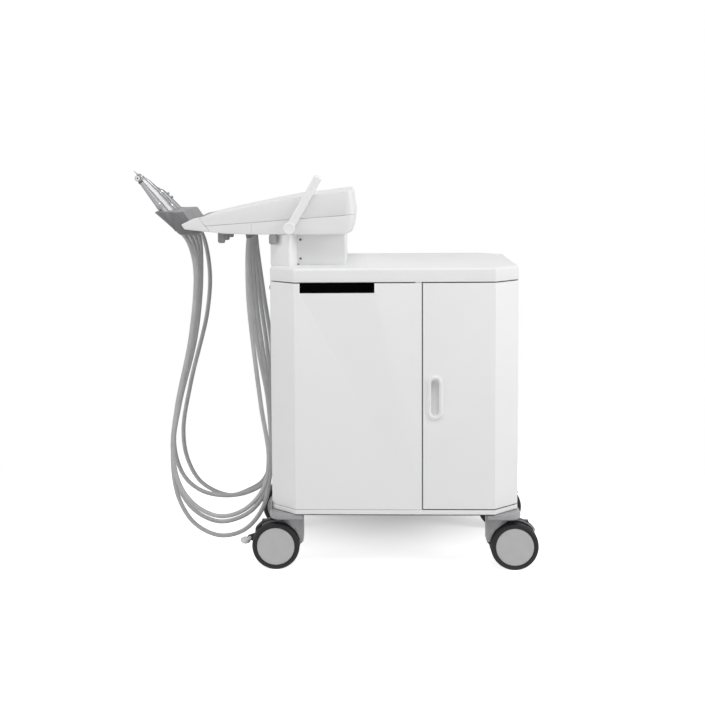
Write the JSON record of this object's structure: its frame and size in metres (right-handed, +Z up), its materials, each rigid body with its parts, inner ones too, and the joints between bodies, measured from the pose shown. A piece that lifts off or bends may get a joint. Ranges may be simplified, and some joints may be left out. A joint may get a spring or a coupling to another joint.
{
  "type": "portable dental unit",
  "caption": "Mobile dental delivery cabinet on twin-wheel casters, with a sloping head, a row of hose-fed instruments, a positioning arm and a side cupboard door",
  "frame": {"origin": "on the floor, under the middle of the overall length and depth", "axes": "+Z up; +X from the instrument side towards the rear of the cabinet; -Y is the side with the cupboard door"},
  "size_m": [0.8572, 0.414, 0.8366],
  "materials": {
    "panel_paint": "white, satin powder coat on sheet steel",
    "cover_plastic": "white, satin moulded plastic",
    "worktop_plastic": "white, fine-textured moulded plastic",
    "foot_grey": "mid grey, satin moulded plastic",
    "wheel_grey": "mid grey, satin moulded plastic",
    "holder_grey": "dark grey, fine-textured moulded plastic",
    "knob_grey": "grey, satin moulded plastic",
    "tyre_black": "black, satin rubber",
    "vent_black": "black, matt moulded plastic",
    "inlet_black": "dark grey, matt moulded plastic",
    "frame_steel": "steel grey, zinc-plated sheet steel",
    "screw_steel": "dark steel grey, plated steel",
    "instrument_steel": "bright steel, satin-polished stainless steel",
    "instrument_white": "white, autoclavable plastic",
    "compressor_iron": "dark grey, painted cast iron",
    "tank_paint": "white, gloss enamel on steel",
    "valve_aluminium": "grey, anodised aluminium",
    "bottle_clear": "pale blue, translucent plastic",
    "hose_grey": "mid grey, satin silicone tubing",
    "button_blue": "blue, satin plastic",
    "button_green": "green, satin plastic"
  },
  "bodies": {
    "root": {"base_tray": "panel_paint", "inner_frame": "frame_steel", "side_panel_near": "panel_paint", "side_panel_far": "panel_paint", "front_panel": "panel_paint", "rear_panel": "panel_paint", "vent_insert": "vent_black", "panel_screws": "screw_steel", "mains_inlet": "inlet_black", "worktop": "worktop_plastic", "door_catch": "inlet_black", "hinge_frame_side": "frame_steel", "compressor": "compressor_iron", "air_tank": "tank_paint", "water_bottle": "bottle_clear", "control_block": "valve_aluminium", "caster_brackets": "foot_grey", "pedestal_shroud": "cover_plastic", "pedestal_box": "cover_plastic", "head_top": "cover_plastic", "head_lower_rear": "cover_plastic", "head_lower_front": "cover_plastic", "head_nose": "cover_plastic", "arm_pivot": "cover_plastic", "instrument_holder": "holder_grey", "gland_plate": "holder_grey", "hose_turbine": "hose_grey", "hose_scaler": "hose_grey", "hose_contra_angle": "hose_grey", "hose_straight": "hose_grey", "hose_syringe": "hose_grey"},
    "swivel_front_near": {"fork_front_near": "foot_grey"},
    "wheel_front_near": {"tyre_front_near": "tyre_black", "hub_front_near": "wheel_grey"},
    "swivel_front_far": {"fork_front_far": "foot_grey"},
    "wheel_front_far": {"tyre_front_far": "tyre_black", "hub_front_far": "wheel_grey"},
    "swivel_rear_near": {"fork_rear_near": "foot_grey"},
    "wheel_rear_near": {"tyre_rear_near": "tyre_black", "hub_rear_near": "wheel_grey"},
    "swivel_rear_far": {"fork_rear_far": "foot_grey"},
    "wheel_rear_far": {"tyre_rear_far": "tyre_black", "hub_rear_far": "wheel_grey"},
    "pedal_near": {"brake_pedal_near": "wheel_grey"},
    "pedal_far": {"brake_pedal_far": "wheel_grey"},
    "door": {"door": "panel_paint", "door_pull": "cover_plastic", "hinge_door_side": "frame_steel"},
    "arm": {"positioning_arm": "cover_plastic"},
    "knob_near": {"flow_knob_near": "knob_grey"},
    "knob_middle": {"flow_knob_middle": "knob_grey"},
    "knob_far": {"flow_knob_far": "knob_grey"},
    "selector": {"selector_knob": "knob_grey"},
    "turbine": {"turbine": "instrument_steel"},
    "scaler": {"scaler": "instrument_white"},
    "contra_angle": {"contra_angle": "instrument_steel"},
    "straight_handpiece": {"straight_handpiece": "instrument_steel"},
    "syringe": {"syringe": "instrument_steel"},
    "air_button": {"air_button": "button_blue"},
    "water_button": {"water_button": "button_green"}
  },
  "joints": [
    {"name": "swivel_front_near_turn", "type": "hinge", "parent": "root", "child": "swivel_front_near", "pos_m": [-0.08579, -0.161, 0.109], "axis": [0, 0, 1], "continuous": true},
    {"name": "wheel_front_near_roll", "type": "hinge", "parent": "swivel_front_near", "child": "wheel_front_near", "pos_m": [-0.12079, -0.161, 0.05], "axis": [0, 1, 0], "continuous": true},
    {"name": "swivel_front_far_turn", "type": "hinge", "parent": "root", "child": "swivel_front_far", "pos_m": [-0.08579, 0.161, 0.109], "axis": [0, 0, 1], "continuous": true},
    {"name": "wheel_front_far_roll", "type": "hinge", "parent": "swivel_front_far", "child": "wheel_front_far", "pos_m": [-0.12079, 0.161, 0.05], "axis": [0, 1, 0], "continuous": true},
    {"name": "swivel_rear_near_turn", "type": "hinge", "parent": "root", "child": "swivel_rear_near", "pos_m": [0.34321, -0.161, 0.109], "axis": [0, 0, 1], "continuous": true},
    {"name": "wheel_rear_near_roll", "type": "hinge", "parent": "swivel_rear_near", "child": "wheel_rear_near", "pos_m": [0.37822, -0.161, 0.05], "axis": [0, 1, 0], "continuous": true},
    {"name": "swivel_rear_far_turn", "type": "hinge", "parent": "root", "child": "swivel_rear_far", "pos_m": [0.34321, 0.161, 0.109], "axis": [0, 0, 1], "continuous": true},
    {"name": "wheel_rear_far_roll", "type": "hinge", "parent": "swivel_rear_far", "child": "wheel_rear_far", "pos_m": [0.37822, 0.161, 0.05], "axis": [0, 1, 0], "continuous": true},
    {"name": "pedal_near_press", "type": "hinge", "parent": "swivel_front_near", "child": "pedal_near", "pos_m": [-0.17778, -0.161, 0.062], "axis": [0, 1, 0], "range_deg": [-18, 0]},
    {"name": "pedal_far_press", "type": "hinge", "parent": "swivel_front_far", "child": "pedal_far", "pos_m": [-0.17778, 0.161, 0.062], "axis": [0, 1, 0], "range_deg": [-18, 0]},
    {"name": "door_open", "type": "hinge", "parent": "root", "child": "door", "pos_m": [0.38371, -0.1497, 0.37], "axis": [0, 0, 1], "range_deg": [0, 105]},
    {"name": "arm_turn", "type": "hinge", "parent": "root", "child": "arm", "pos_m": [-0.08779, -0.156, 0.7151], "axis": [0, 1, 0], "range_deg": [-60, 55]},
    {"name": "knob_near_turn", "type": "hinge", "parent": "root", "child": "knob_near", "pos_m": [-0.23628, -0.082, 0.7], "axis": [0, 0, 1], "range_deg": [0, 270]},
    {"name": "knob_middle_turn", "type": "hinge", "parent": "root", "child": "knob_middle", "pos_m": [-0.23628, 0.018, 0.7], "axis": [0, 0, 1], "range_deg": [0, 270]},
    {"name": "knob_far_turn", "type": "hinge", "parent": "root", "child": "knob_far", "pos_m": [-0.23628, 0.118, 0.7], "axis": [0, 0, 1], "range_deg": [0, 270]},
    {"name": "selector_turn", "type": "hinge", "parent": "root", "child": "selector", "pos_m": [-0.12229, -0.1425, 0.7], "axis": [0, 0, 1], "range_deg": [0, 90]},
    {"name": "turbine_lift", "type": "slide", "parent": "root", "child": "turbine", "axis": [-0.6157, 0, 0.788], "range_m": [0, 0.06]},
    {"name": "scaler_lift", "type": "slide", "parent": "root", "child": "scaler", "axis": [-0.6374, 0, 0.7705], "range_m": [0, 0.06]},
    {"name": "contra_angle_lift", "type": "slide", "parent": "root", "child": "contra_angle", "axis": [-0.6587, 0, 0.7524], "range_m": [0, 0.06]},
    {"name": "straight_handpiece_lift", "type": "slide", "parent": "root", "child": "straight_handpiece", "axis": [-0.6794, 0, 0.7337], "range_m": [0, 0.06]},
    {"name": "syringe_lift", "type": "slide", "parent": "root", "child": "syringe", "axis": [-0.6997, 0, 0.7145], "range_m": [0, 0.06]},
    {"name": "air_button_press", "type": "slide", "parent": "syringe", "child": "air_button", "axis": [-0.7145, 0, -0.6997], "range_m": [0, 0.002], "stiffness_N_per_m": 500},
    {"name": "water_button_press", "type": "slide", "parent": "syringe", "child": "water_button", "axis": [-0.7145, 0, -0.6997], "range_m": [0, 0.002], "stiffness_N_per_m": 500}
  ]
}
